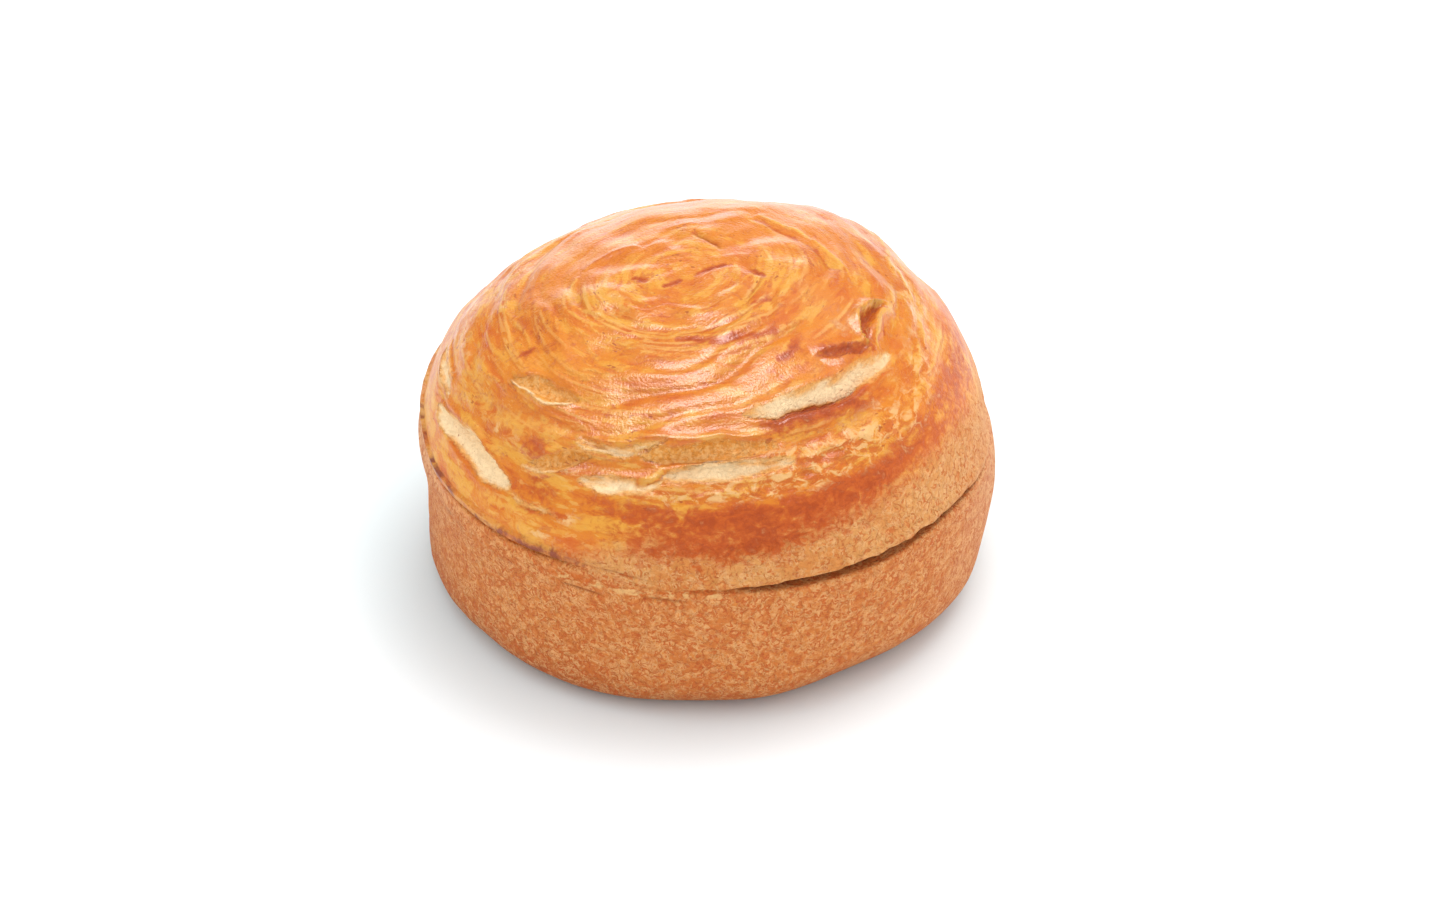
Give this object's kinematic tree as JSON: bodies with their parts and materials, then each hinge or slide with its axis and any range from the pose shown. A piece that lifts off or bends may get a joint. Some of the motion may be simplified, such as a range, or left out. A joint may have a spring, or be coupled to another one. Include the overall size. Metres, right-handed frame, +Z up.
{
  "type": "croissant bun",
  "caption": "Round croissant bun: a straight ring-baked wall, a seam, and a domed top with swirled, torn flaky layers, resting on its flat underside.",
  "frame": {"origin": "centre of the flat underside, on the surface the bun rests on", "axes": "+Z up through the swirl of the dome, -Y towards the side with the long front tear"},
  "size_m": [0.1064, 0.1058, 0.0647],
  "materials": {
    "crust": "baked crust: egg-washed and glossy on the dome, matt and grainy on the wall"
  },
  "bodies": {
    "root": {"bun": "crust"}
  },
  "joints": []
}
